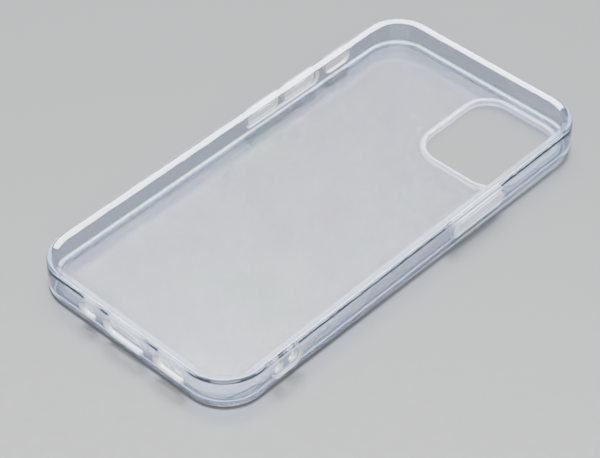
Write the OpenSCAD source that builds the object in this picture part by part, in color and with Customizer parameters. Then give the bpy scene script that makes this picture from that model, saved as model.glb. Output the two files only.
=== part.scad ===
// Clear protective case for a 6.1-inch-class phone.
// The open side faces +Z, the camera end +Y and the power button +X.
// The origin is under the middle of the case, level with the foot of the camera guard.

/* [Phone] */
// Length of the phone that the case holds
phone_l = 146.7; // [125:0.1:176]
// Width of the phone
phone_w = 71.5; // [60:0.1:86]
// Thickness of the phone, from its back to its screen
phone_t = 7.65; // [6.8:0.05:12]
// Corner radius of the phone's outline
phone_r = 11.1; // [8:0.1:15]

/* [Shell] */
// Thickness of the side walls
wall_t = 1.5; // [1.25:0.05:2.5]
// Thickness of the back
back_t = 1.2; // [1:0.05:2]
// Height of the lip above the screen
lip_h = 0.75; // [0.5:0.05:1.5]
// How far the lip reaches in over the screen's edge
lip_over = 1.65; // [0.6:0.05:2.2]
// Radius of the outer bottom edge
foot_r = 1.1; // [0.4:0.05:1.2]
// Radius of the outer top edge
rim_r = 0.9; // [0.3:0.05:1.2]
// Radius of the cove between the back and the walls
cove_r = 1.1; // [0.3:0.05:1.4]
// Width of the soft foot that frames the hard back, inside the wall
foot_w = 1.5; // [1.45:0.05:2]

/* [Back panel] */
// How far the panel's tongue runs into the groove of the foot
tongue_w = 0.9; // [0.4:0.05:1.2]
// Thickness of the tongue
tongue_t = 0.45; // [0.3:0.05:0.5]

/* [Camera opening] */
// Width of the camera opening
camera_w = 29.4; // [20:0.1:32]
// Length of the camera opening
camera_l = 32.2; // [20:0.1:45]
// Corner radius of the camera opening
camera_r = 8; // [4:0.1:9.5]
// From the phone's side to the opening
camera_side = 3.45; // [3.4:0.05:12]
// From the phone's top end to the opening
camera_top = 3.45; // [3.4:0.05:12]
// How far the guard stands proud of the back
guard_h = 1; // [0.4:0.05:2.5]
// Width of the guard's foot
guard_w = 1.75; // [1.3:0.05:1.8]
// Thickness of the guard where it lines the opening in the back
guard_liner = 1.15; // [0.6:0.05:1.2]

/* [Buttons] */
// Height of the button caps
cap_h = 4.4; // [3:0.1:4.6]
// How far the caps stand proud of the wall
cap_proud = 0.5; // [0.3:0.05:0.8]
// Width of the groove around each cap
cap_gap = 0.4; // [0.3:0.05:0.5]
// Depth of the inner pocket that clears the phone's own buttons
pocket_d = 0.7; // [0.4:0.05:0.75]
// Thickness of the thin web that each cap hangs on
web_t = 0.4; // [0.25:0.05:0.45]
// Length of the power button
power_l = 20.6; // [12:0.1:24]
// From the phone's top end to the middle of the power button
power_top = 48.4; // [30:0.1:70]
// Length of each volume button
volume_l = 12.8; // [8:0.1:13.5]
// From the phone's top end to the middle of the volume up button
volume_up_top = 42.4; // [38:0.1:50]
// Spacing of the two volume buttons
volume_pitch = 15.1; // [14.8:0.1:20]

/* [Side openings] */
// Length of the opening over the mute switch
mute_l = 10.2; // [6:0.1:11]
// Height of the opening over the mute switch
mute_h = 4.4; // [3:0.1:4.6]
// From the phone's top end to the middle of the mute switch
mute_top = 26.2; // [22:0.1:28]
// Width of the charging port's opening
charge_w = 13.6; // [9:0.1:14]
// Height of the charging port's opening
charge_h = 4.8; // [3:0.1:5]
// Width of the speaker's opening
speaker_w = 10; // [5:0.1:11]
// Distance of the speaker's opening from the middle
speaker_x = 16.7; // [15.5:0.1:20]
// Width of the microphone's opening
mic_w = 5; // [4:0.1:7]
// Distance of the microphone's opening from the middle
mic_x = 13.6; // [13:0.1:18]
// Height of the speaker's and the microphone's openings
slot_h = 3.6; // [2.4:0.1:4.2]
// How much wider each opening is on the outside, on every side
flare = 1; // [0.3:0.05:1]

/* [Lanyard anchor] */
// Length of the anchor's hollow
anchor_l = 11.4; // [9:0.1:14]
// Height of the anchor's hollow
anchor_h = 6.6; // [5:0.1:6.8]
// Depth of the anchor's hollow
anchor_d = 0.55; // [0.3:0.05:0.8]
// Radius of the two lanyard holes
lanyard_r = 1.1; // [0.6:0.05:1.4]
// Spacing of the two lanyard holes
lanyard_pitch = 5.4; // [4.4:0.1:6.6]
// From the phone's bottom end to the middle of the anchor
anchor_bottom = 21.1; // [16:0.1:40]

/* [Hidden] */
$fn = 48;
skin = 0.01;
back_z = guard_h;
floor_z = back_z + back_t;
screen_z = floor_z + phone_t;
top_z = screen_z + lip_h;
mid_z = floor_z + phone_t / 2;
tongue_z = back_z + (back_t - tongue_t) / 2;
side_x = phone_w / 2;
end_y = phone_l / 2;
pocket_h = cap_h + 2 * cap_gap;
pocket_end = 1.4;
cap_r = 1.7;
rib_h = 1.6;
rib_t = 0.25;
cap_bevel = 0.35;
guard_edge_r = 0.45;
flare_d = 0.8;
anchor_flare = 0.45;
anchor_floor = wall_t - anchor_d;
power_y = end_y - power_top;
volume_up_y = end_y - volume_up_top;
volume_down_y = volume_up_y - volume_pitch;
mute_y = end_y - mute_top;
anchor_y = anchor_bottom - end_y;
camera_x = side_x - camera_side - camera_w / 2;
camera_y = end_y - camera_top - camera_l / 2;

soft = [0.80, 0.86, 0.93, 0.45];
hard = [0.74, 0.76, 0.80, 0.40];
rim = [0.93, 0.94, 0.96, 0.60];

// Outline of a rectangle with round corners, centred
module round_rect(w, l, r) {
  square([w - 2 * r, l], center = true);
  square([w, l - 2 * r], center = true);
  for (x = [-1, 1], y = [-1, 1])
    translate([x * (w / 2 - r), y * (l / 2 - r)])
      circle(r);
}

// Carries a section around a rounded rectangle: the section's X runs outwards, its Y runs up
module around(w, l, r) {
  for (turn = [0, 180]) {
    rotate(turn) translate([w / 2, 0, 0]) run(l - 2 * r) children();
    rotate(turn + 90) translate([l / 2, 0, 0]) run(w - 2 * r) children();
  }
  for (x = [0, 1], y = [0, 1])
    mirror([x, 0, 0]) mirror([0, y, 0])
      translate([w / 2 - r, l / 2 - r, 0])
        rotate_extrude(angle = 90) translate([r, 0]) children();
}

// One straight run of a section, along Y
module run(length) {
  rotate([90, 0, 0]) linear_extrude(length, center = true) children();
}

// What a radius takes off an outer corner, or fills an inner one with: the corner is at the origin,
// and the circle's centre is at -X -Y
module rounding(r) {
  difference() {
    translate([-r, -r]) square(r + skin);
    translate([-r, -r]) circle(r);
  }
}

// A slot along X with round corners: from the origin outwards by depth, each side growing by grow
module slot(length, tall, r, depth, grow = 0) {
  half_y = length / 2 - r;
  half_z = tall / 2 - r;
  for (y = [-1, 1], z = [-1, 1])
    translate([0, y * half_y, z * half_z])
      rotate([0, 90, 0]) cylinder(h = depth, r1 = r, r2 = r + grow);
  ends = [[0, -1], [0, 1], [depth, 1], [depth, -1]];
  translate([0, 0, -half_z]) linear_extrude(2 * half_z)
    polygon([for (p = ends) [p.x, p.y * (length / 2 + grow * p.x / depth)]]);
  translate([0, half_y, 0]) run_x(2 * half_y)
    polygon([for (p = ends) [p.x, p.y * (tall / 2 + grow * p.x / depth)]]);
}

// One straight run of a section in X and Z, along -Y
module run_x(length) {
  rotate([90, 0, 0]) linear_extrude(length) children();
}

// A through opening in a wall whose inner face is at X = 0, flared on the outside
module port(length, tall, r) {
  straight = wall_t - flare_d;
  translate([-1, 0, 0]) slot(length, tall, r, 1 + straight + skin);
  translate([straight, 0, 0]) slot(length, tall, r, flare_d, flare);
  translate([wall_t, 0, 0]) slot(length + 2 * flare, tall + 2 * flare, r + flare, 1);
}

module on_right(y) { translate([side_x, y, mid_z]) children(); }
module on_left(y) { mirror([1, 0, 0]) on_right(y) children(); }
module on_bottom(x) { rotate(-90) translate([end_y, x, mid_z]) children(); }

// Section of the frame: foot, wall and lip; X = 0 is the phone's side
module frame_section() {
  difference() {
    union() {
      translate([-foot_w, back_z]) square([foot_w + wall_t, back_t]);
      translate([0, back_z]) square([wall_t, top_z - back_z]);
      translate([-lip_over, screen_z]) square([lip_over + wall_t, lip_h]);
      translate([0, floor_z]) mirror([0, 1]) rounding(cove_r);
    }
    translate([wall_t, top_z]) rounding(rim_r);
    translate([wall_t, back_z]) mirror([0, 1]) rounding(foot_r);
    translate([-lip_over, top_z]) mirror([1, 0]) rounding(lip_h / 2);
    translate([-lip_over, screen_z]) mirror([1, 0]) mirror([0, 1]) rounding(lip_h / 2 - skin);
    translate([-foot_w - skin, tongue_z]) square([tongue_w + skin, tongue_t]);
  }
}

module back_panel() {
  w = phone_w - 2 * foot_w;
  l = phone_l - 2 * foot_w;
  r = phone_r - foot_w;
  color(hard) difference() {
    union() {
      translate([0, 0, back_z]) linear_extrude(back_t) round_rect(w, l, r);
      translate([0, 0, tongue_z]) linear_extrude(tongue_t)
        round_rect(w + 2 * tongue_w, l + 2 * tongue_w, r + tongue_w);
    }
    translate([camera_x, camera_y, back_z - 1]) linear_extrude(back_t + 2)
      round_rect(camera_w + 2 * guard_liner, camera_l + 2 * guard_liner, camera_r + guard_liner);
  }
}

module bumper_frame() {
  color(soft) difference() {
    around(phone_w, phone_l, phone_r) frame_section();
    on_bottom(0) port(charge_w, charge_h, charge_h / 2 - skin);
    on_bottom(speaker_x) port(speaker_w, slot_h, slot_h / 2 - skin);
    on_bottom(-mic_x) port(mic_w, slot_h, slot_h / 2 - skin);
    on_left(mute_y) port(mute_l, mute_h, mute_h / 2 - skin);
    on_right(power_y) button_pocket(power_l);
    on_left((volume_up_y + volume_down_y) / 2) button_pocket(volume_pitch + volume_l);
    on_right(power_y) button_window(power_l);
    on_left(volume_up_y) button_window(volume_l);
    on_left(volume_down_y) button_window(volume_l);
    on_right(anchor_y) anchor_hollow();
  }
}

// Shallow pocket in the inner face, over the phone's own buttons
module button_pocket(length) {
  translate([-1, 0, 0])
    slot(length + 2 * pocket_end, pocket_h, cap_r + cap_gap, pocket_d + 1);
}

// Window in the wall for a cap and the groove around it
module button_window(length) {
  slot(length + 2 * cap_gap, cap_h + 2 * cap_gap, cap_r + cap_gap, wall_t + 1);
}

// Oval hollow with two holes, and the bar that a lanyard loops around between them
module anchor_hollow() {
  base_l = anchor_l - 2 * anchor_flare;
  base_h = anchor_h - 2 * anchor_flare;
  translate([anchor_floor, 0, 0])
    slot(base_l, base_h, base_h / 2 - skin, anchor_d, anchor_flare);
  translate([wall_t, 0, 0]) slot(anchor_l, anchor_h, anchor_h / 2 - skin, 1);
  for (y = [-1, 1])
    translate([-1, y * lanyard_pitch / 2, 0])
      rotate([0, 90, 0]) cylinder(h = wall_t + 2, r = lanyard_r);
}

// Section of the camera guard: X = 0 is the edge of the opening
module guard_section() {
  difference() {
    union() {
      square([guard_w, back_z]);
      translate([0, back_z - skin]) square([guard_liner, back_t + skin]);
    }
    mirror([1, 0]) mirror([0, 1]) rounding(guard_edge_r);
    translate([guard_w, 0]) mirror([0, 1]) rounding(guard_edge_r);
    translate([0, floor_z]) mirror([1, 0]) rounding(guard_edge_r);
  }
}

module camera_guard() {
  color(rim) translate([camera_x, camera_y, 0])
    around(camera_w, camera_l, camera_r) guard_section();
}

// A cap on its web: a pad with a bevelled edge outside, and a rib inside that meets the phone's button
module button(length) {
  reach = wall_t - pocket_d + cap_proud - cap_bevel;
  translate([pocket_d, 0, 0]) slot(length, cap_h, cap_r, reach);
  translate([pocket_d + reach, 0, 0]) slot(length, cap_h, cap_r, cap_bevel, -cap_bevel);
  translate([pocket_d - rib_t, 0, 0]) slot(length / 2, rib_h, rib_h / 2 - skin, rib_t + skin);
}

// The thin web that fills a window around its cap
module web(length) {
  translate([pocket_d, 0, 0]) difference() {
    slot(length + 2 * cap_gap, cap_h + 2 * cap_gap, cap_r + cap_gap, web_t);
    translate([-1, 0, 0]) slot(length, cap_h, cap_r, web_t + 2);
  }
}

module power_button() { color(rim) on_right(power_y) button(power_l); }
module power_web() { color(soft) on_right(power_y) web(power_l); }
module volume_up_button() { color(rim) on_left(volume_up_y) button(volume_l); }
module volume_up_web() { color(soft) on_left(volume_up_y) web(volume_l); }
module volume_down_button() { color(rim) on_left(volume_down_y) button(volume_l); }
module volume_down_web() { color(soft) on_left(volume_down_y) web(volume_l); }

back_panel();
bumper_frame();
camera_guard();
power_button();
power_web();
volume_up_button();
volume_up_web();
volume_down_button();
volume_down_web();
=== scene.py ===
"""A slim clear phone case: its looks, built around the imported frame.

Lengths are in metres. The case lies on its back: +Z is the open side, +Y the camera end and
+X the side with the power button. An outline is walked round a rounded rectangle, and every
piece is a section or a row of rings carried along one, so each surface is a function of two
parameters: how far round, and how far across.
"""

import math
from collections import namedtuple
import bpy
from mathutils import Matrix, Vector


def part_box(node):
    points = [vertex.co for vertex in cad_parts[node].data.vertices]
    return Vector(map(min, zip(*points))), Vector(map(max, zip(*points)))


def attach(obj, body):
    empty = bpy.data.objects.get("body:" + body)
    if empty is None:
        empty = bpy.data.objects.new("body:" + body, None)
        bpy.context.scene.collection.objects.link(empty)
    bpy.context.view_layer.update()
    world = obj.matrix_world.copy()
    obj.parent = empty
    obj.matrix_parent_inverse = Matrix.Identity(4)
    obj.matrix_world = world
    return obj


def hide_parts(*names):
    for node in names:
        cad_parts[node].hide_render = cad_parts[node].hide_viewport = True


bl_info = {
    "name": "Clear phone case",
    "version": (1, 0, 0),
    "blender": (4, 5, 0),
    "location": "View3D > Sidebar > Phone case",
    "description": "Builds a clear phone case with a soft frame, a hard back and sprung button caps",
    "category": "Add Mesh",
}

import bmesh
import bpy
import numpy as np
from bpy.props import FloatProperty, FloatVectorProperty, IntProperty, PointerProperty
from mathutils import Matrix, Vector

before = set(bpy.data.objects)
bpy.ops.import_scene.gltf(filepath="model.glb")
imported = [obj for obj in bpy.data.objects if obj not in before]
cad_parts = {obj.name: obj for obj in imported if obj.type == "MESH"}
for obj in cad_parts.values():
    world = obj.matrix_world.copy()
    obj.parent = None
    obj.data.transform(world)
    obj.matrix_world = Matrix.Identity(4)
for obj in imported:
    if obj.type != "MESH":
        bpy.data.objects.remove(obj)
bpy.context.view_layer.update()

MM = 0.001
SHELL = "shell"
FRAME_LOW, FRAME_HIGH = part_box("bumper_frame")
PANEL_LOW, PANEL_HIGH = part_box("back_panel")
GUARD_LOW, GUARD_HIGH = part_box("camera_guard")
OVERRUN = MM  # how far a cutter runs past the face that it opens
SKIN = 0.01 * MM  # how far a cutter's rounded rim stands proud, so that it leaves no film
FULLY_ROUND = 0.999  # an end's radius as a share of its half height, just short of a doubled point
FLOOR_GAP = 0.02 * MM  # between the case and the floor
FLOOR_SIDES = 96  # sides of the round floor
SENSOR_W = 36.0  # the camera's sensor, in millimetres
CLIP = (0.01, 20.0)  # nearest and farthest that the camera sees
FOOT_SHARE = 0.8  # how much of the bottom edge's height gets the painted glow line
ANCHOR_RIM = 0.4  # width of the anchor's rim as a share of its depth
SCOOP_DEPTH = 0.8  # depth of a lanyard hole's scoop as a share of the hole's
GUARD_TOP_EDGE = 1.2  # radius of the guard's inner edge as a share of its other edges'
LEAST_TURN = 0.004  # rays of the back closer than this angle are one
SAME_POINT = 1e-7  # points closer than this are one
SHARP = math.radians(38)  # edges that bend more than this are shaded sharp

Cap = namedtuple("Cap", "node web body side")
CAPS = {
    "power": Cap("power_button", "power_web", "power_key", "right"),
    "volume_up": Cap("volume_up_button", "volume_up_web", "volume_up_key", "left"),
    "volume_down": Cap("volume_down_button", "volume_down_web", "volume_down_key", "left"),
}
Levels = namedtuple("Levels", "back floor screen top middle")

# Gloss is the range of roughness, ripples are per metre, and density is of the colour in depth.
Plastic = namedtuple("Plastic", "ior transmission gloss ripples ripple_h density")
PLASTICS = {
    "soft_clear_plastic": Plastic(1.49, 0.98, (0.03, 0.06), 120.0, 0.03 * MM, 70.0),
    # rims: a little rougher, and whiter and less clear, a painted glow for the light that thick cut edges
    # gather
    "rim_glow_plastic": Plastic(1.49, 0.45, (0.06, 0.12), 160.0, 0.02 * MM, 70.0),
    # foot edge: whiter and nearly opaque, a painted glow line along the outer bottom edge
    "foot_glow_plastic": Plastic(1.49, 0.2, (0.15, 0.25), 160.0, 0.02 * MM, 70.0),
    "button_cap_plastic": Plastic(1.49, 0.74, (0.04, 0.09), 220.0, 0.03 * MM, 70.0),
    "hard_clear_plastic": Plastic(1.55, 0.97, (0.05, 0.1), 60.0, 0.02 * MM, 40.0),
}
BODY_NODE = "plastic"
HAZE = 0.25  # how much a micro-dot whitens the back
RAINBOWS = 3.0  # how many times the stress tints repeat
STRESS_TINTS = [
    (0.0, (0.80, 1.0, 0.92)),
    (0.3, (1.0, 0.84, 0.92)),
    (0.6, (0.86, 0.92, 1.0)),
    (0.85, (1.0, 0.98, 0.84)),
    (1.0, (0.80, 1.0, 0.92)),
]

# Lights: azimuth and elevation in degrees, distance, (width, height), radiance and tint.
Softbox = namedtuple("Softbox", "azimuth elevation distance size radiance tint")
SOFTBOXES = {
    "high_back": Softbox(131, 57.5, 3.0, (2.5, 0.85), 65.0, (1, 1, 1)),
    "high_front": Softbox(-47, 72, 1.0, (0.6, 0.5), 4.0, (1, 0.99, 0.97)),
    "front": Softbox(-47, 38, 1.0, (0.9, 0.6), 10.0, (1, 0.99, 0.98)),
    "low_back": Softbox(133, 26, 1.2, (0.8, 0.35), 4.5, (0.93, 0.96, 1)),
    "right_side": Softbox(37, 29, 1.1, (0.5, 0.18), 28.0, (1, 1, 1)),
    "left_side": Softbox(235, 32, 1.1, (0.5, 0.14), 24.0, (1, 1, 1)),
}


# ---------------------------------------------------------------- sizes and colours


def length(name, description, default):
    """A length property, in metres."""
    return FloatProperty(
        name=name, description=description, default=default, unit="LENGTH", precision=5
    )


def colour(name, description, default):
    """A colour property."""
    return FloatVectorProperty(
        name=name, description=description, default=default, subtype="COLOR", min=0, max=1
    )


def turn(name, description, degrees):
    """An angle property, given in degrees and kept in radians."""
    return FloatProperty(
        name=name, description=description, default=math.radians(degrees), subtype="ANGLE"
    )


class CaseShape(bpy.types.PropertyGroup):
    """Sizes of the frame, the back and the guard"""

    half_w: length("Half width", "Half the frame's width", FRAME_HIGH[0])
    half_l: length("Half length", "Half the frame's length", FRAME_HIGH[1])
    corner_r: length("Corner radius", "Outer radius of the frame's corners", 12.6 * MM)
    wall: length("Wall", "Thickness of the side walls", 1.5 * MM)
    bow: length("Bow", "How much the outer wall swells at mid height", 0.1 * MM)
    foot_w: length("Foot", "Width of the foot that holds the back", 1.5 * MM)
    foot_r: length("Foot radius", "Radius of the outer bottom edge", 1.1 * MM)
    cove_r: length("Cove", "Radius between the back and the walls", 1.1 * MM)
    lip_h: length("Lip height", "Height of the lip", 0.75 * MM)
    lip_over: length("Lip reach", "How far the lip reaches in over the screen", 1.65 * MM)
    lip_bead: length("Lip bead", "Radius of the lip's inner edge", 0.2 * MM)
    lip_root: length("Lip root", "Radius where the lip's underside meets the wall", 0.22 * MM)
    shoulder: length("Shoulder", "Radius of the outer top edge", 1.15 * MM)
    tongue_w: length("Tongue", "How far the back's tongue runs into the foot", 0.9 * MM)
    tongue_t: length("Tongue thickness", "Thickness of the back's tongue", 0.45 * MM)
    guard_w: length("Guard foot", "Width of the camera guard's foot", 1.75 * MM)
    guard_liner: length("Guard liner", "Thickness of the guard within the back", 1.15 * MM)
    guard_r: length("Guard radius", "Corner radius of the camera opening", 8 * MM)
    guard_edge: length("Guard edge", "Radius of the guard's edges", 0.45 * MM)
    seam: length("Seam", "Gap between two mouldings that meet", 0.015 * MM)
    arc_steps: IntProperty(
        name="Arc steps", description="Steps in each round corner of the frame", default=28, min=4
    )


class CaseOpenings(bpy.types.PropertyGroup):
    """Sizes and places of the openings"""

    charge_w: length("Charging width", "Width of the charging port's opening", 13.6 * MM)
    charge_h: length("Charging height", "Height of the charging port's opening", 4.8 * MM)
    speaker_w: length("Speaker width", "Width of the speaker's opening", 10 * MM)
    speaker_x: length("Speaker place", "Place of the speaker's opening along X", 16.7 * MM)
    mic_w: length("Microphone width", "Width of the microphone's opening", 5 * MM)
    mic_x: length("Microphone place", "Place of the microphone's opening along X", -13.6 * MM)
    slot_h: length("Slot height", "Height of the speaker's and microphone's openings", 3.6 * MM)
    mute_l: length("Switch length", "Length of the opening over the mute switch", 10.2 * MM)
    mute_h: length("Switch height", "Height of the opening over the mute switch", 4.4 * MM)
    mute_y: length("Switch place", "Place of the mute switch along Y", 47.15 * MM)
    flare: length("Flare", "How much wider an opening is outside", 1 * MM)
    flare_d: length("Flare depth", "How deep the flare goes", 0.8 * MM)
    inner_r: length("Inner edge", "Radius of an opening's inner edge", 0.18 * MM)
    anchor_y: length("Anchor place", "Place of the lanyard anchor along Y", -52.25 * MM)
    anchor_l: length("Anchor length", "Length of the anchor's hollow", 11.4 * MM)
    anchor_h: length("Anchor height", "Height of the anchor's hollow", 6.6 * MM)
    anchor_d: length("Anchor depth", "Depth of the anchor's hollow", 0.55 * MM)
    anchor_slope: length("Anchor slope", "How far the hollow's sides lean out", 0.45 * MM)
    anchor_edge: length("Anchor edge", "Radius at the hollow's bed and rim", 0.3 * MM)
    anchor_pitch: length("Hole spacing", "Spacing of the two lanyard holes", 5.4 * MM)
    anchor_r: length("Hole radius", "Radius of the lanyard holes", 1.1 * MM)
    anchor_scoop: length("Hole scoop", "How much wider a lanyard hole's mouth is", 0.8 * MM)
    anchor_inner_r: length("Hole edge", "Radius of a lanyard hole's inner edge", 0.12 * MM)


class CaseButtons(bpy.types.PropertyGroup):
    """Sizes of the button caps, their webs and their pockets"""

    corner: length("Cap corner", "Corner radius of a cap", 1.7 * MM)
    gap: length("Groove", "Width of the groove round a cap", 0.4 * MM)
    window_edge: length("Window edge", "Radius of a window's outer edge", 0.16 * MM)
    pocket_d: length("Pocket depth", "Depth of the inner pocket", 0.7 * MM)
    pocket_end: length("Pocket end", "How far a pocket runs past its caps", 1.4 * MM)
    pocket_edge: length("Pocket edge", "Radius between a pocket's sides and its bed", 0.5 * MM)
    pocket_lip: length("Pocket lip", "Radius where a pocket meets the wall", 0.15 * MM)
    web_t: length("Web", "Thickness of the web", 0.4 * MM)
    web_dip: length("Web dip", "How far the web dips in its middle", 0.12 * MM)
    web_seam: length("Web seam", "Gap between a web and what it joins", 0.02 * MM)
    edge: length("Cap edge", "Radius of a cap's edge", 0.38 * MM)
    dome: length("Cap dome", "How much a cap swells in its middle", 0.1 * MM)
    rib_h: length("Rib height", "Height of the rib on a cap's inner face", 1.6 * MM)
    rib_t: length("Rib depth", "How far the rib stands out", 0.25 * MM)
    rib_edge: length("Rib edge", "Width of the rib's sloping sides", 0.2 * MM)


class CaseFinish(bpy.types.PropertyGroup):
    """Colours and finishes of the plastics"""

    soft: colour("Soft plastic", "Tint of the soft frame", (0.54, 0.59, 0.68))
    # near-white tint of the caps and the guard, and of the cut rims and the outer bottom edge, where it
    # is part of a painted glow
    rim: colour("Rims and caps", "Tint of the guard and the caps", (0.95, 0.965, 0.98))
    hard: colour("Hard plastic", "Tint of the back", (0.65, 0.66, 0.70))
    soft_depth: colour("Soft depth", "Colour deep inside the soft plastic", (0.35, 0.47, 0.66))
    hard_depth: colour("Hard depth", "Colour deep inside the hard plastic", (0.4, 0.5, 0.6))
    soft_shade: colour("Soft shade", "Colour of the soft plastic's shadow", (0.86, 0.89, 0.93))
    hard_shade: colour("Hard shade", "Colour of the hard plastic's shadow", (0.87, 0.88, 0.905))
    dot_pitch: length("Dot pitch", "Spacing of the micro-dots on the back", 0.55 * MM)


class CaseStage(bpy.types.PropertyGroup):
    """Camera, floor and lights"""

    azimuth: turn("Azimuth", "Camera's turn round the case", 42.655)
    elevation: turn("Elevation", "Camera's height", 43.534)
    roll: turn("Roll", "Camera's roll", 0.523)
    distance: length("Distance", "From the camera to the case", 592.56 * MM)
    aim_x: length("Aim across", "Where the camera aims, along X", 1.965 * MM)
    aim_y: length("Aim along", "Where the camera aims, along Y", -9.675 * MM)
    lens: FloatProperty(name="Lens", description="Focal length in millimetres", default=128.35)
    floor_size: length("Floor", "Radius of the floor", 2.5)
    floor: colour("Floor colour", "Colour of the floor", (0.10, 0.1015, 0.103))
    world: colour("Room colour", "Colour of the light from all round", (0.42, 0.50, 0.70))
    world_strength: FloatProperty(
        name="Room light", description="Strength of the light from all round", default=0.32, min=0
    )


# ---------------------------------------------------------------- surfaces


def outline(half_w, half_l, r, arc_steps, run_steps):
    """A rounded rectangle, once round anticlockwise: its points and its outward normals.

    Each corner is a quarter circle about (half_w - r, half_l - r), mirrored, and the straight
    runs between them are split evenly, with the normal of the corner that they leave.
    """
    points, normals = [], []
    signs = [(1, 1), (-1, 1), (-1, -1), (1, -1)]
    for k, (sx, sy) in enumerate(signs):
        a = np.linspace(0, math.pi / 2, arc_steps + 1) + k * math.pi / 2
        n = np.stack([np.cos(a), np.sin(a)], 1)
        points.append(np.array([sx * (half_w - r), sy * (half_l - r)]) + r * n)
        normals.append(n)
        tx, ty = signs[(k + 1) % 4]
        start = points[-1][-1]
        end = np.array([tx * (half_w - r), ty * (half_l - r)]) + r * n[-1]
        if np.linalg.norm(end - start) < SAME_POINT:
            points[-1], normals[-1] = points[-1][:-1], normals[-1][:-1]
            continue
        t = np.linspace(0, 1, run_steps + 1)[1:-1, None]
        points.append(start + (end - start) * t)
        normals.append(np.repeat(n[-1:], len(t), 0))
    return np.concatenate(points), np.concatenate(normals)


def arc(centre, radius, start, end, steps):
    """Points of a circle's arc about centre, from start to end in degrees."""
    a = np.radians(np.linspace(start, end, steps + 1))
    return np.stack([centre[0] + radius * np.cos(a), centre[1] + radius * np.sin(a)], 1)


def line(start, end, steps):
    """Points of a straight line, ends included."""
    return np.linspace(start, end, steps + 1)


def chain(*runs):
    """Joins runs of points into one, leaving out points that repeat."""
    p = np.concatenate(runs)
    return p[np.linalg.norm(p - np.roll(p, 1, 0), axis=1) > SAME_POINT]


def carry(walk, section):
    """Carries a closed section round an outline: outline + normal * section's first, at its second."""
    points, normals = walk
    flat = points[:, None, :] + normals[:, None, :] * section[None, :, :1]
    up = np.broadcast_to(section[None, :, 1:], (len(points), len(section), 1))
    return np.concatenate([flat, up], 2)


def stack(walk, rings):
    """Rings of an outline, each grown by its first number and set at the depth of its second."""
    return carry(walk, np.asarray(rings)).transpose(1, 0, 2)


def volume(points, faces):
    """Signed volume of a closed mesh of quads or triangles fanned from each face's first corner."""
    total = 0.0
    for size in {len(f) for f in faces}:
        f = np.array([x for x in faces if len(x) == size])
        for k in range(1, size - 1):
            a, b, c = points[f[:, 0]], points[f[:, k]], points[f[:, k + 1]]
            total += np.einsum("ij,ij->i", a, np.cross(b, c)).sum()
    return total / 6


def grid_faces(rows, columns, wrap_rows):
    """Quads of a grid whose columns close on themselves, and whose rows do so too if wrap_rows."""
    i = np.arange(rows if wrap_rows else rows - 1)[:, None]
    j = np.arange(columns)[None, :]
    i2, j2 = (i + 1) % rows, (j + 1) % columns
    corners = [i * columns + j, i * columns + j2, i2 * columns + j2, i2 * columns + j]
    return np.stack([np.broadcast_to(c, (i.shape[0], columns)) for c in corners], 2).reshape(-1, 4)


def solid(name, grid, wrap_rows):
    """A closed mesh object from a grid of points: a ring of rings, or a stack with flat ends."""
    rows, columns = grid.shape[:2]
    points = grid.reshape(-1, 3)
    faces = grid_faces(rows, columns, wrap_rows).tolist()
    if not wrap_rows:
        faces.append(list(range(columns))[::-1])
        faces.append([(rows - 1) * columns + j for j in range(columns)])
    if volume(points, faces) < 0:
        faces = [f[::-1] for f in faces]
    mesh = bpy.data.meshes.new(name)
    mesh.from_pydata(points.tolist(), [], faces)
    mesh.validate()
    piece = bpy.data.objects.new(name, mesh)
    bpy.context.scene.collection.objects.link(piece)
    return piece


def close_poles(piece):
    """Closes a piece's poles and seams by merging the points that meet there."""
    bm = bmesh.new()
    bm.from_mesh(piece.data)
    bmesh.ops.remove_doubles(bm, verts=bm.verts, dist=SAME_POINT)
    bmesh.ops.recalc_face_normals(bm, faces=bm.faces)
    bm.to_mesh(piece.data)
    bm.free()


def smooth(piece):
    """Shades a piece smooth, apart from its sharp edges, with its flats kept flat."""
    piece.data.polygons.foreach_set("use_smooth", np.ones(len(piece.data.polygons), bool))
    piece.data.set_sharp_from_angle(angle=SHARP)
    weighted = piece.modifiers.new("flats", "WEIGHTED_NORMAL")
    weighted.keep_sharp = True
    weighted.weight = 60


def polish_foot(piece, section, shape):
    """Gives the frame's last material, a painted glow line, to the faces round its outer bottom edge.

    A face belongs to the edge if its middle is outside the edge's centre, and lower than
    FOOT_SHARE of the edge's radius.
    """
    middle = (section + np.roll(section, -1, 0)) / 2
    edge = shape.wall - shape.bow - shape.foot_r
    on_foot = (middle[:, 1] < FRAME_LOW[2] + shape.foot_r * FOOT_SHARE) & (middle[:, 0] > edge)
    rows = len(piece.data.polygons) // len(section)
    slot = np.int32(len(piece.data.materials) - 1)
    piece.data.polygons.foreach_set("material_index", np.tile(on_foot * slot, rows))


def cut(piece, cutters, body, rim):
    """Takes the cutters out of the piece, leaves the result as its mesh, and removes the cutters.

    Cut faces get the rim material, whose whiteness is a painted glow, apart from a cutter's flat
    ends, its last two faces, which get the body's.
    """
    for cutter in cutters:
        cutter.data.materials.append(rim)
        cutter.data.materials.append(body)
        ends = np.zeros(len(cutter.data.polygons), np.int32)
        ends[-2:] = 1
        cutter.data.polygons.foreach_set("material_index", ends)
        away = piece.modifiers.new(cutter.name, "BOOLEAN")
        away.operation = "DIFFERENCE"
        away.solver = "EXACT"
        away.material_mode = "TRANSFER"
        away.object = cutter
    seen = piece.evaluated_get(bpy.context.evaluated_depsgraph_get())
    mesh = bpy.data.meshes.new_from_object(seen)
    piece.modifiers.clear()
    piece.data = mesh
    for cutter in cutters:
        bpy.data.objects.remove(cutter)


def finish_piece(piece, body, nodes, material=None):
    """Gives a piece its body and its material, and hides the CAD nodes that it stands for."""
    if material:
        piece.data.materials.append(material)
    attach(piece, body)
    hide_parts(*nodes)


# ---------------------------------------------------------------- walls and openings


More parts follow.
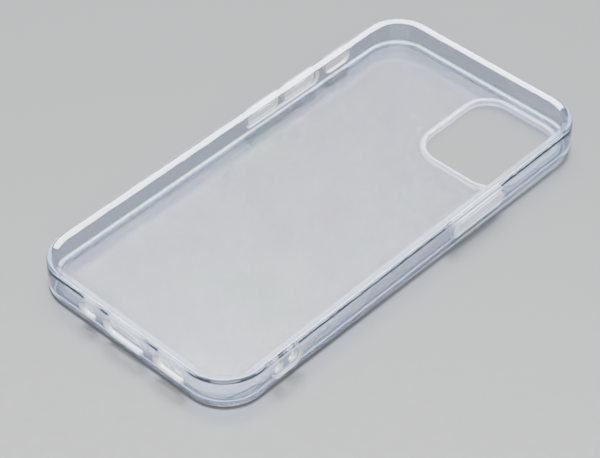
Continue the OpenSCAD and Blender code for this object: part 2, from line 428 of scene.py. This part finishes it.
def levels():
    """Heights of the back's outer face, the inside floor, the screen, the lip's top and the buttons."""
    back, floor, top = FRAME_LOW[2], PANEL_HIGH[2], FRAME_HIGH[2]
    screen = top - bpy.context.scene.case_shape.lip_h
    return Levels(back, floor, screen, top, (floor + screen) / 2)


def cap_place(name):
    """Middle along Y, length and height of a button cap, from its CAD node."""
    low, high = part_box(CAPS[name].node)
    return (low[1] + high[1]) / 2, high[1] - low[1], high[2] - low[2]


def on_wall(grid, side, place, shape):
    """Stands a grid of (along, up, depth) against a wall: depth 0 is the wall's inner face."""
    along, up, depth = grid[..., 0], grid[..., 1] + levels().middle, grid[..., 2]
    if side == "bottom":
        return np.stack([place + along, -(shape.half_l - shape.wall + depth), up], -1)
    out = shape.half_w - shape.wall + depth
    return np.stack([out if side == "right" else -out, place + along, up], -1)


def inner_edge(r, steps=6):
    """Rings of an opening's inner edge, grown and deep: a quarter circle that ends in a straight neck."""
    a = np.linspace(0, math.pi / 2, steps + 1)
    return np.stack([r * (1 - np.sin(a)), r * (1 - np.cos(a))], 1)


def outer_edge(wide, start, end, steps=6):
    """Rings of an opening's outer edge: a quarter ellipse that leaves the neck straight at start.

    It grows by wide, and ends level with the outer face at end, with a skin to spare.
    """
    a = np.linspace(0, math.pi / 2, steps + 1)
    return np.stack([wide * (1 - np.cos(a)), start + (end + SKIN - start) * np.sin(a)], 1)


def wall_cutter(name, walk, rings, side, place, shape):
    """A closed solid of rings of an outline, stood against a wall."""
    return solid(name, on_wall(stack(walk, np.concatenate(rings)), side, place, shape), False)


def mouth_cutter(name, side, place, long, tall, shape, holes):
    """The cutter of a flared port with fully round ends."""
    walk = outline(long / 2, tall / 2, tall / 2 * FULLY_ROUND, 16, 4)
    rings = [
        [[holes.inner_r, -OVERRUN]],
        inner_edge(holes.inner_r),
        outer_edge(holes.flare, shape.wall - holes.flare_d, shape.wall, 12),
        [[holes.flare, shape.wall + OVERRUN]],
    ]
    return wall_cutter(name, walk, rings, side, place, shape)


def window_cutter(name, side, place, long, tall, shape, keys):
    """The cutter of one cap's window, grooved all round, with a soft outer edge."""
    walk = outline(long / 2 + keys.gap, tall / 2 + keys.gap, keys.corner + keys.gap, 10, 6)
    edge = keys.window_edge
    rings = [
        [[0, 0]],
        outer_edge(edge, shape.wall - edge, shape.wall),
        [[edge, shape.wall + OVERRUN]],
    ]
    return wall_cutter(name, walk, rings, side, place, shape)


def pocket_cutter(name, side, place, long, tall, shape, keys):
    """The cutter of a shallow pocket in the inner face, with wide round edges round its bed."""
    walk = outline(long / 2 + keys.pocket_end, tall / 2 + keys.gap, keys.corner + keys.gap, 10, 8)
    a = np.linspace(0, math.pi / 2, 7)
    edge = keys.pocket_edge
    bed = np.stack([edge * (np.cos(a) - 1), keys.pocket_d - edge * (1 - np.sin(a))], 1)
    rings = [[[keys.pocket_lip, -OVERRUN]], inner_edge(keys.pocket_lip), bed]
    return wall_cutter(name, walk, rings, side, place, shape)


def anchor_cutters(shape, holes):
    """The cutters of the lanyard anchor: a hollow with sloping sides, and its two scooped holes."""
    bed_at = shape.wall - holes.anchor_d
    slope, edge = holes.anchor_slope, holes.anchor_edge
    a = np.linspace(0, math.pi / 2, 7)
    half_l, half_h = holes.anchor_l / 2 - slope, holes.anchor_h / 2 - slope
    walk = outline(half_l, half_h, half_h * FULLY_ROUND, 16, 4)
    bed = np.stack([edge * (np.sin(a) - 1), bed_at + edge * (1 - np.cos(a))], 1)
    rim_out = slope + ANCHOR_RIM * edge * (1 - np.cos(a))
    rim = np.stack([rim_out, shape.wall - edge * (1 - np.sin(a)) + SKIN], 1)
    rings = [bed, rim, [[rim_out[-1], shape.wall + OVERRUN]]]
    cutters = [wall_cutter("anchor_hollow", walk, rings, "right", holes.anchor_y, shape)]
    walk = outline(holes.anchor_r, holes.anchor_r, holes.anchor_r * FULLY_ROUND, 12, 1)
    rings = [
        [[holes.anchor_inner_r, -OVERRUN]],
        inner_edge(holes.anchor_inner_r),
        outer_edge(holes.anchor_scoop, bed_at * (1 - SCOOP_DEPTH), bed_at),
        [[holes.anchor_scoop, bed_at + OVERRUN]],
    ]
    for k, sign in enumerate((-1, 1)):
        place = holes.anchor_y + sign * holes.anchor_pitch / 2
        cutters.append(wall_cutter(f"anchor_hole_{k}", walk, rings, "right", place, shape))
    return cutters


# ---------------------------------------------------------------- sections


def frame_section(shape):
    """The frame's section, first number outwards from the phone's side, second up.

    Foot, swelling outer wall, round shoulder, a straight crown that falls towards the screen, a
    round bead, the lip's underside, the inner wall, the cove and the groove. The crown is the
    line that touches the shoulder's circle and the bead's.
    """
    back, floor, screen, top, _ = levels()
    wall, foot, root = shape.wall, shape.foot_w, shape.lip_root
    low, high = back + shape.foot_r, top - shape.shoulder
    z = np.linspace(low, high, 9)
    rise = (z - (low + high) / 2) / ((high - low) / 2)
    outer = np.stack([wall - shape.bow * rise**2, z], 1)
    edge = wall - shape.bow
    crest = edge - shape.shoulder
    bead = shape.lip_bead
    bead_at = (-shape.lip_over + bead, screen + bead)
    apart = (crest - bead_at[0], high - bead_at[1])
    lean = math.acos((bead - shape.shoulder) / math.hypot(*apart)) + math.atan2(apart[1], apart[0])
    lean = math.degrees(lean)
    groove_low = (back + floor - shape.tongue_t) / 2
    groove_high = groove_low + shape.tongue_t
    shoulder = arc((crest, high), shape.shoulder, 0, lean, 16)
    tip = arc(bead_at, bead, lean, 270, 14)
    return chain(
        line((-foot, back), (edge - shape.foot_r, back), 2),
        arc((edge - shape.foot_r, low), shape.foot_r, -90, 0, 12),
        outer,
        shoulder,
        line(shoulder[-1], tip[0], 4),
        tip,
        line((bead_at[0], screen), (-root, screen), 2),
        arc((-root, screen - root), root, 90, 0, 5),
        line((0, screen - root), (0, floor + shape.cove_r), 6),
        arc((-shape.cove_r, floor + shape.cove_r), shape.cove_r, 0, -90, 12),
        line((-shape.cove_r, floor), (-foot, floor), 1),
        line((-foot, groove_high), (-foot + shape.tongue_w, groove_high), 1),
        line((-foot + shape.tongue_w, groove_low), (-foot, groove_low), 1),
    )


def guard_section(shape):
    """The guard's section, outwards from the camera opening's edge: a foot and a thinner liner."""
    r, low, high = shape.guard_edge, GUARD_LOW[2], levels().floor
    inner_r = r * GUARD_TOP_EDGE
    wide, thin = shape.guard_w, shape.guard_liner - shape.seam
    step = levels().back - shape.seam
    return chain(
        arc((r, low + r), r, 180, 270, 10),
        arc((wide - r, low + r), r, 270, 360, 10),
        line((wide, step), (thin, step), 2),
        line((thin, high), (inner_r, high), 2),
        arc((inner_r, high - inner_r), inner_r, 90, 180, 10),
    )


# ---------------------------------------------------------------- the back


def bearings(points, centre):
    """Angles of points about a centre."""
    away = points - centre
    return np.arctan2(away[:, 1], away[:, 0])


def reach(angles, centre, half_w, half_l, r):
    """How far a rounded rectangle about the origin lies from centre along each angle.

    The outline is walked densely, turned into angle and distance about centre, and read off.
    """
    points, _ = outline(half_w, half_l, r, 200, 400)
    found = bearings(points, centre)
    order = np.argsort(found)
    away = np.linalg.norm(points - centre, axis=1)
    return np.interp(angles, found[order], away[order], period=2 * math.pi)


def back_grid(shape):
    """The back as rings about the camera opening: over the top, round the edge, under, and up again.

    Every ring is distance(angle) from the opening's middle. On the two faces the distance runs
    evenly from the opening to the edge, and at the edge it steps out along the tongue. The
    angles are those of the opening's and the edge's own points, so their corners stay round.
    """
    back, floor, _, _, _ = levels()
    edge_half = np.array([shape.half_w, shape.half_l]) - shape.wall - shape.foot_w - shape.seam
    edge_r = shape.corner_r - shape.wall - shape.foot_w
    low_corner, high_corner = np.array(GUARD_LOW[:2]), np.array(GUARD_HIGH[:2])
    middle = (low_corner + high_corner) / 2
    hole_half = (high_corner - low_corner) / 2 - shape.guard_w + shape.guard_liner
    hole_r = shape.guard_r + shape.guard_liner

    hole_angles = bearings(outline(*hole_half, hole_r, 20, 12)[0], np.zeros(2))
    edge_angles = bearings(outline(*edge_half, edge_r, 24, 30)[0], middle)
    angles = np.unique(np.round(np.concatenate([hole_angles, edge_angles]), 5))
    angles = angles[np.concatenate([[True], np.diff(angles) > LEAST_TURN])]

    hole = reach(angles, np.zeros(2), *hole_half, hole_r)
    rim = reach(angles, middle, *edge_half, edge_r)
    tongue = reach(angles, middle, *(edge_half + shape.tongue_w), edge_r + shape.tongue_w)
    low = (back + floor - shape.tongue_t) / 2 + shape.seam
    high = (back + floor + shape.tongue_t) / 2 - shape.seam
    share = np.linspace(0, 1, 9)
    rings = [(hole + (rim - hole) * s, floor) for s in share]
    rings += [(rim, high), (tongue, high), (tongue, low), (rim, low)]
    rings += [(rim + (hole - rim) * s, back) for s in share]
    ray = np.stack([np.cos(angles), np.sin(angles)], 1)
    flat = [middle + ray * away[:, None] for away, _ in rings]
    up = [np.full(len(angles), z) for _, z in rings]
    return np.stack([np.column_stack(ring) for ring in zip(flat, up)])


# ---------------------------------------------------------------- the caps and webs


def cap_grid(long, tall, shape, keys, proud):
    """A button cap as rings: in from the rib's middle, out to the edge, up the side, over the crown.

    A ring is the outline drawn towards the cap's middle line by a share s. The crown's depth falls
    by dome * s squared, and by a quarter circle within edge of the side. The inner face is flat,
    with the rib as a smooth step in both directions.
    """
    walk = outline(long / 2, tall / 2, keys.corner, 10, 16)[0]
    spine = long / 2 - tall / 2
    core = np.stack([np.clip(walk[:, 0], -spine, spine), np.zeros(len(walk))], 1)
    top = shape.wall + proud

    def ring(s, depth):
        flat = core + (walk - core) * s
        return np.column_stack([flat, depth(flat) if callable(depth) else np.full(len(walk), depth)])

    def inner(flat):
        along = np.clip((long / 4 - np.abs(flat[:, 0])) / keys.rib_edge + 0.5, 0, 1)
        across = np.clip((keys.rib_h / 2 - np.abs(flat[:, 1])) / keys.rib_edge + 0.5, 0, 1)
        step = along * across
        return keys.pocket_d - keys.rib_t * step * step * (3 - 2 * step)

    rows = [ring(s, inner) for s in np.linspace(0, 1, 15)]
    a = np.linspace(0, math.pi / 2, 9)
    for inset, drop in zip(keys.edge * (1 - np.cos(a)), keys.edge * (1 - np.sin(a))):
        s = 1 - inset / (tall / 2)
        rows.append(ring(s, top - keys.dome * s * s - drop))
    start = 1 - keys.edge / (tall / 2)
    rows += [ring(s, top - keys.dome * s * s) for s in np.linspace(start, 0, 8)[1:]]
    return np.stack(rows)


def web_grid(long, tall, keys):
    """The thin web between a cap and its window: flat inside, dipped outside as a half sine."""
    walk = outline(long / 2, tall / 2, keys.corner, 10, 8)
    near, far = keys.web_seam, keys.gap - keys.web_seam
    across = np.linspace(near, far, 7)
    dip = keys.web_dip * np.sin(math.pi * (across - near) / (far - near))
    section = np.concatenate([
        np.stack([across, keys.pocket_d + keys.web_t - dip], 1),
        np.stack([across[::-1], np.full(7, keys.pocket_d)], 1),
    ])
    return carry(walk, section)


# ---------------------------------------------------------------- shader node groups


def group_io(name, inputs, outputs):
    """A new shader node group with named sockets, and its input and output nodes."""
    tree = bpy.data.node_groups.new(name, "ShaderNodeTree")
    for label, kind, value in inputs:
        s = tree.interface.new_socket(label, in_out="INPUT", socket_type=kind)
        if value is not None:
            s.default_value = value
    for label, kind in outputs:
        tree.interface.new_socket(label, in_out="OUTPUT", socket_type=kind)
    return tree, tree.nodes.new("NodeGroupInput"), tree.nodes.new("NodeGroupOutput")


def wire(tree, n, links):
    """Links a node's inputs from sockets, or sets them to values."""
    for key, source in links.items():
        if isinstance(source, bpy.types.NodeSocket):
            tree.links.new(source, n.inputs[key])
        else:
            n.inputs[key].default_value = source
    return n


def node(tree, kind, links=None, **values):
    """Adds a node, sets its values, and wires its inputs."""
    n = tree.nodes.new(kind)
    for key, value in values.items():
        setattr(n, key, value)
    return wire(tree, n, links or {})


def placed(tree, make, links):
    """Places a node group, which is made once and found again by its making function's name."""
    group = bpy.data.node_groups.get(make.__name__) or make()
    return wire(tree, node(tree, "ShaderNodeGroup", node_tree=group), links)


def mould_group():
    """Uneven moulding: slow ripples in height and a slight change of gloss."""
    tree, gi, go = group_io(
        "mould_group",
        [
            ("Vector", "NodeSocketVector", None),
            ("Ripple scale", "NodeSocketFloat", 90.0),
            ("Gloss low", "NodeSocketFloat", 0.03),
            ("Gloss high", "NodeSocketFloat", 0.08),
        ],
        [("Roughness", "NodeSocketFloat"), ("Height", "NodeSocketFloat")],
    )
    place = gi.outputs["Vector"]
    ripple = node(tree, "ShaderNodeTexNoise", {
        "Vector": place,
        "Scale": gi.outputs["Ripple scale"],
        "Detail": 2.0,
        "Roughness": 0.4,
    })
    fine = node(tree, "ShaderNodeTexNoise", {"Vector": place, "Scale": 900.0, "Detail": 2.0})
    gloss = node(tree, "ShaderNodeMapRange", {
        "Value": fine.outputs["Fac"],
        "From Min": 0.35,
        "From Max": 0.65,
        "To Min": gi.outputs["Gloss low"],
        "To Max": gi.outputs["Gloss high"],
    })
    wire(tree, go, {"Roughness": gloss.outputs["Result"], "Height": ripple.outputs["Fac"]})
    return tree


def dots_group():
    """A square grid of micro-dots: a mask that is a soft disc in each cell."""
    tree, gi, go = group_io(
        "dots_group",
        [
            ("Vector", "NodeSocketVector", None),
            ("Pitch", "NodeSocketFloat", 0.55 * MM),
            ("Radius", "NodeSocketFloat", 0.3),
        ],
        [("Mask", "NodeSocketFloat")],
    )

    def vector(operation, links):
        return node(tree, "ShaderNodeVectorMath", links, operation=operation).outputs[0]

    one = node(tree, "ShaderNodeMath", {0: 1.0, 1: gi.outputs["Pitch"]}, operation="DIVIDE")
    cell = vector("SCALE", {0: gi.outputs["Vector"], "Scale": one.outputs[0]})
    centred = vector("SUBTRACT", {0: vector("FRACTION", {0: cell}), 1: (0.5, 0.5, 0.0)})
    flat = vector("MULTIPLY", {0: centred, 1: (1.0, 1.0, 0.0)})
    away = node(tree, "ShaderNodeVectorMath", {0: flat}, operation="LENGTH")
    mask = node(tree, "ShaderNodeMapRange", {
        "Value": away.outputs["Value"],
        "From Min": gi.outputs["Radius"],
        "From Max": 0.12,
        "To Min": 0.0,
        "To Max": 1.0,
    }, interpolation_type="SMOOTHSTEP")
    wire(tree, go, {"Mask": mask.outputs["Result"]})
    return tree


def stress_group():
    """Faint rainbow tints that moulding stress leaves in hard clear plastic."""
    tree, gi, go = group_io(
        "stress_group",
        [
            ("Vector", "NodeSocketVector", None),
            ("Base", "NodeSocketColor", (0.86, 0.87, 0.89, 1)),
            ("Strength", "NodeSocketFloat", 0.1),
        ],
        [("Color", "NodeSocketColor")],
    )
    flow = node(tree, "ShaderNodeTexNoise", {
        "Vector": gi.outputs["Vector"],
        "Scale": 22.0,
        "Detail": 3.0,
        "Roughness": 0.45,
        "Distortion": 0.8,
    })
    bands = node(tree, "ShaderNodeMath", {0: flow.outputs["Fac"], 1: RAINBOWS}, operation="MULTIPLY")
    hue = node(tree, "ShaderNodeMath", {0: bands.outputs[0]}, operation="FRACT")
    pastel = node(tree, "ShaderNodeValToRGB", {"Fac": hue.outputs[0]})
    ramp = pastel.color_ramp
    ramp.interpolation = "B_SPLINE"
    while len(ramp.elements) < len(STRESS_TINTS):
        ramp.elements.new(0.5)
    for stop, (at, tint) in zip(ramp.elements, STRESS_TINTS):
        stop.position, stop.color = at, (*tint, 1)
    mix = node(tree, "ShaderNodeMix", data_type="RGBA", blend_type="MULTIPLY")
    wire(tree, mix, {
        "Factor": gi.outputs["Strength"],
        "A": gi.outputs["Base"],
        "B": pastel.outputs["Color"],
    })
    wire(tree, go, {"Color": mix.outputs["Result"]})
    return tree


# ---------------------------------------------------------------- materials


def clear_plastic(name, tint, shade, depth):
    """Clear plastic: Principled glass for the eye, tinted see-through for light on its way.

    Shadow and diffuse rays meet the see-through shade, so that light reaches the floor. Depth is
    the colour that long ways through the plastic take.
    """
    ready = bpy.data.materials.get(name)
    if ready:
        return ready
    plastic = PLASTICS[name]
    m = bpy.data.materials.new(name)
    m.use_nodes = True
    t = m.node_tree
    t.nodes.clear()
    coords = node(t, "ShaderNodeTexCoord")
    mould = placed(t, mould_group, {
        "Vector": coords.outputs["Object"],
        "Ripple scale": plastic.ripples,
        "Gloss low": plastic.gloss[0],
        "Gloss high": plastic.gloss[1],
    })
    bump = node(t, "ShaderNodeBump", {
        "Height": mould.outputs["Height"],
        "Strength": 0.35,
        "Distance": plastic.ripple_h,
    })
    body = node(t, "ShaderNodeBsdfPrincipled", {
        "Base Color": (*tint, 1),
        "IOR": plastic.ior,
        "Transmission Weight": plastic.transmission,
        "Roughness": mould.outputs["Roughness"],
        "Normal": bump.outputs["Normal"],
    })
    body.name = BODY_NODE
    path = node(t, "ShaderNodeLightPath")
    veil = node(t, "ShaderNodeBsdfTransparent", {"Color": (*shade, 1)})
    seen = body
    for ray in ("Is Diffuse Ray", "Is Shadow Ray"):
        links = {0: path.outputs[ray], 1: seen.outputs[0], 2: veil.outputs[0]}
        seen = node(t, "ShaderNodeMixShader", links)
    inside = node(t, "ShaderNodeVolumeAbsorption", {"Color": (*depth, 1), "Density": plastic.density})
    node(t, "ShaderNodeOutputMaterial", {"Surface": seen.outputs[0], "Volume": inside.outputs[0]})
    return m


def soft_material(finish):
    """Soft clear plastic with a faint blue cast."""
    return clear_plastic("soft_clear_plastic", finish.soft, finish.soft_shade, finish.soft_depth)


def rim_material(finish):
    """The soft plastic where it is cut: a little rougher, and whiter and less clear than the body, a
    painted glow for the light that thick cut edges gather.
    """
    return clear_plastic("rim_glow_plastic", finish.rim, finish.soft_shade, finish.soft_depth)


def foot_material(finish):
    """A whiter, nearly opaque soft plastic along the outer bottom edge: a painted glow line for the light
    that the edge gathers, seen end on.
    """
    return clear_plastic("foot_glow_plastic", finish.rim, finish.soft_shade, finish.soft_depth)


def cap_material(finish):
    """The soft plastic of the button caps and the guard, a little cloudy."""
    return clear_plastic("button_cap_plastic", finish.rim, finish.soft_shade, finish.soft_depth)


def hard_material(finish):
    """Hard clear plastic: stress tints, and micro-dots that haze and pimple it."""
    name = "hard_clear_plastic"
    ready = bpy.data.materials.get(name)
    if ready:
        return ready
    m = clear_plastic(name, finish.hard, finish.hard_shade, finish.hard_depth)
    t = m.node_tree
    body = t.nodes[BODY_NODE]
    place = node(t, "ShaderNodeTexCoord").outputs["Object"]
    tint = placed(t, stress_group, {"Vector": place, "Base": (*finish.hard, 1), "Strength": 0.8})
    mask = placed(t, dots_group, {"Vector": place, "Pitch": finish.dot_pitch}).outputs["Mask"]
    haze = node(t, "ShaderNodeMath", {0: mask, 1: HAZE}, operation="MULTIPLY")
    whitened = node(t, "ShaderNodeMix", data_type="RGBA", blend_type="MIX")
    wire(t, whitened, {"Factor": haze.outputs[0], "A": tint.outputs["Color"], "B": (1, 1, 1, 1)})
    ripple = body.inputs["Normal"].links[0].from_socket
    pimples = node(t, "ShaderNodeBump", {
        "Height": mask,
        "Strength": 0.3,
        "Distance": 0.02 * MM,
        "Normal": ripple,
    })
    wire(t, body, {"Base Color": whitened.outputs["Result"], "Normal": pimples.outputs["Normal"]})
    return m


def floor_material(stage):
    """A plain pale table top with a soft sheen."""
    m = bpy.data.materials.new("pale_table")
    m.use_nodes = True
    t = m.node_tree
    coords = node(t, "ShaderNodeTexCoord")
    grain = node(t, "ShaderNodeTexNoise", {
        "Vector": coords.outputs["Object"],
        "Scale": 400.0,
        "Detail": 3.0,
    })
    rough = node(t, "ShaderNodeMapRange", {
        "Value": grain.outputs["Fac"],
        "To Min": 0.36,
        "To Max": 0.46,
    })
    wire(t, t.nodes["Principled BSDF"], {
        "Base Color": (*stage.floor, 1),
        "Roughness": rough.outputs["Result"],
        "Specular IOR Level": 0.25,
    })
    return m


# ---------------------------------------------------------------- operators


class CASE_OT_frame(bpy.types.Operator):
    """Build the soft frame: lip, walls, ports, pockets and lanyard anchor"""

    bl_idname = "case.frame"
    bl_label = "Soft frame"

    def execute(self, context):
        s = context.scene
        shape, holes, keys = s.case_shape, s.case_openings, s.case_buttons
        half_w, half_l = shape.half_w - shape.wall, shape.half_l - shape.wall
        walk = outline(half_w, half_l, shape.corner_r - shape.wall, shape.arc_steps, 14)
        section = frame_section(shape)
        piece = solid("soft_frame", carry(walk, section), True)
        # the rim material is a painted glow on cut faces, and the third material is a painted glow line
        # along the outer bottom edge
        soft, rim = soft_material(s.case_finish), rim_material(s.case_finish)
        for material in (soft, rim, foot_material(s.case_finish)):
            piece.data.materials.append(material)
        polish_foot(piece, section, shape)
        mouths = {
            "charging_mouth": ("bottom", 0, holes.charge_w, holes.charge_h),
            "speaker_mouth": ("bottom", holes.speaker_x, holes.speaker_w, holes.slot_h),
            "microphone_mouth": ("bottom", holes.mic_x, holes.mic_w, holes.slot_h),
            "switch_mouth": ("left", holes.mute_y, holes.mute_l, holes.mute_h),
        }
        cutters = [mouth_cutter(name, *mouth, shape, holes) for name, mouth in mouths.items()]
        ends = {}
        for name, cap in CAPS.items():
            y, long, tall = cap_place(name)
            cutters.append(window_cutter(name + "_window", cap.side, y, long, tall, shape, keys))
            ends.setdefault(cap.side, []).extend([y - long / 2, y + long / 2])
        for side, places in ends.items():
            low, high = min(places), max(places)
            place, long = (low + high) / 2, high - low
            cutters.append(pocket_cutter(side + "_pocket", side, place, long, tall, shape, keys))
        cutters += anchor_cutters(shape, holes)
        cut(piece, cutters, soft, rim)
        smooth(piece)
        finish_piece(piece, SHELL, ["bumper_frame"])
        return {"FINISHED"}


class CASE_OT_back(bpy.types.Operator):
    """Build the hard clear back with its tongue"""

    bl_idname = "case.back"
    bl_label = "Hard back"

    def execute(self, context):
        s = context.scene
        piece = solid("hard_back", back_grid(s.case_shape), True)
        smooth(piece)
        finish_piece(piece, SHELL, ["back_panel"], hard_material(s.case_finish))
        return {"FINISHED"}


class CASE_OT_guard(bpy.types.Operator):
    """Build the raised guard round the camera opening"""

    bl_idname = "case.guard"
    bl_label = "Camera guard"

    def execute(self, context):
        s = context.scene
        shape = s.case_shape
        low, high = np.array(GUARD_LOW[:2]), np.array(GUARD_HIGH[:2])
        middle = (low + high) / 2
        points, normals = outline(*((high - low) / 2 - shape.guard_w), shape.guard_r, 24, 10)
        piece = solid("guard_ring", carry((points + middle, normals), guard_section(shape)), True)
        smooth(piece)
        finish_piece(piece, SHELL, ["camera_guard"], cap_material(s.case_finish))
        return {"FINISHED"}


class CASE_OT_buttons(bpy.types.Operator):
    """Build the three button caps and the thin webs that they hang on"""

    bl_idname = "case.buttons"
    bl_label = "Button caps and webs"

    def execute(self, context):
        s = context.scene
        shape, keys = s.case_shape, s.case_buttons
        for name, cap in CAPS.items():
            y, long, tall = cap_place(name)
            proud = max(abs(corner[0]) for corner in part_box(cap.node)) - shape.half_w
            grid = on_wall(cap_grid(long, tall, shape, keys, proud), cap.side, y, shape)
            piece = solid(name + "_cap", grid, False)
            close_poles(piece)
            smooth(piece)
            finish_piece(piece, cap.body, [cap.node], cap_material(s.case_finish))
            grid = on_wall(web_grid(long, tall, keys), cap.side, y, shape)
            piece = solid(name + "_hinge", grid, True)
            smooth(piece)
            finish_piece(piece, SHELL, [cap.web], soft_material(s.case_finish))
        return {"FINISHED"}


class CASE_OT_stage(bpy.types.Operator):
    """Set up the pale floor, the soft lights and the camera"""

    bl_idname = "case.stage"
    bl_label = "Floor, lights and camera"

    def execute(self, context):
        stage = context.scene.case_stage
        floor_disc(stage)
        soft_lights(stage)
        camera(stage)
        return {"FINISHED"}


# ---------------------------------------------------------------- stage


def floor_disc(stage):
    """A large round table top that touches the guard's near edge and the port end's bottom edge.

    It is a ring of quads about a flat many-sided middle, and its height falls evenly along Y.
    """
    shape = bpy.context.scene.case_shape
    guard_y = GUARD_LOW[1] + shape.guard_edge
    end_y = FRAME_LOW[1] + shape.foot_r
    slope = (FRAME_LOW[2] - GUARD_LOW[2]) / (end_y - guard_y)
    radii = np.array([0.3, 1.0]) * stage.floor_size
    a = np.linspace(0, 2 * math.pi, FLOOR_SIDES + 1)[:-1]
    x = np.outer(radii, np.cos(a))
    y = np.outer(radii, np.sin(a))
    z = GUARD_LOW[2] + (y - guard_y) * slope - FLOOR_GAP
    faces = grid_faces(len(radii), FLOOR_SIDES, False).tolist() + [list(range(FLOOR_SIDES))]
    mesh = bpy.data.meshes.new("table_top")
    mesh.from_pydata(np.stack([x, y, z], -1).reshape(-1, 3).tolist(), [], faces)
    piece = bpy.data.objects.new("table_top", mesh)
    bpy.context.scene.collection.objects.link(piece)
    close_poles(piece)
    if sum(p.normal.z for p in mesh.polygons) < 0:
        mesh.flip_normals()
    mesh.materials.append(floor_material(stage))


def softbox(name, box):
    """A rectangular soft light that faces the case.

    Azimuth runs from +X towards +Y. A face of radiance r gives r * pi * area watts.
    """
    az, el = math.radians(box.azimuth), math.radians(box.elevation)
    ray = Vector((math.cos(az) * math.cos(el), math.sin(az) * math.cos(el), math.sin(el)))
    data = bpy.data.lights.new(name, "AREA")
    data.shape = "RECTANGLE"
    data.size, data.size_y = box.size
    data.energy = box.radiance * math.pi * box.size[0] * box.size[1]
    data.color = box.tint
    light = bpy.data.objects.new(name, data)
    light.location = ray * box.distance
    light.rotation_euler = ray.to_track_quat("Z", "Y").to_euler()
    bpy.context.scene.collection.objects.link(light)


def soft_lights(stage):
    """The softboxes and an even light from all round.

    A wide box high behind the case lights the lip's crown, two narrow ones light its sides, and
    three faint ones fill the front and the back.
    """
    for name, box in SOFTBOXES.items():
        softbox(name, box)
    world = bpy.data.worlds.new("studio")
    world.use_nodes = True
    wire(world.node_tree, world.node_tree.nodes["Background"], {
        "Color": (*stage.world, 1),
        "Strength": stage.world_strength,
    })
    bpy.context.scene.world = world


def camera(stage):
    """The camera: turned round the case, tipped down and slightly rolled, on a long lens."""
    data = bpy.data.cameras.new("camera")
    data.lens = stage.lens
    data.sensor_width = SENSOR_W
    data.clip_start, data.clip_end = CLIP
    view = bpy.data.objects.new("camera", data)
    az, el, roll = stage.azimuth, stage.elevation, stage.roll
    back = Vector((math.sin(az) * math.cos(el), -math.cos(az) * math.cos(el), math.sin(el)))
    aim = Vector((stage.aim_x, stage.aim_y, FRAME_LOW[2]))
    right = (-back).cross(Vector((0, 0, 1))).normalized()
    up = right.cross(-back)
    c, s = math.cos(roll), math.sin(roll)
    axes = Matrix((c * right + s * up, c * up - s * right, back)).transposed().to_4x4()
    view.matrix_world = Matrix.Translation(aim + back * stage.distance) @ axes
    bpy.context.scene.collection.objects.link(view)
    bpy.context.scene.camera = view


# ---------------------------------------------------------------- panel and registration


class CASE_PT_panel(bpy.types.Panel):
    """Lists the case's pieces and its stage"""

    bl_idname = "CASE_PT_panel"
    bl_label = "Clear phone case"
    bl_space_type = "VIEW_3D"
    bl_region_type = "UI"
    bl_category = "Phone case"

    def draw(self, context):
        for operator in OPERATORS:
            self.layout.operator(operator.bl_idname)


GROUPS = {
    "case_shape": CaseShape,
    "case_openings": CaseOpenings,
    "case_buttons": CaseButtons,
    "case_finish": CaseFinish,
    "case_stage": CaseStage,
}
OPERATORS = (CASE_OT_frame, CASE_OT_back, CASE_OT_guard, CASE_OT_buttons, CASE_OT_stage)


def register():
    """Registers the classes and hangs the settings on the scene."""
    for c in (*GROUPS.values(), *OPERATORS, CASE_PT_panel):
        bpy.utils.register_class(c)
    for name, c in GROUPS.items():
        setattr(bpy.types.Scene, name, PointerProperty(type=c))


def unregister():
    """Takes the settings and the classes away again."""
    for name in GROUPS:
        delattr(bpy.types.Scene, name)
    for c in (CASE_PT_panel, *OPERATORS, *GROUPS.values()):
        bpy.utils.unregister_class(c)


def main():
    """Builds every piece and the stage."""
    register()
    bpy.ops.case.frame()
    bpy.ops.case.back()
    bpy.ops.case.guard()
    bpy.ops.case.buttons()
    bpy.ops.case.stage()


if __name__ == "__main__":
    main()
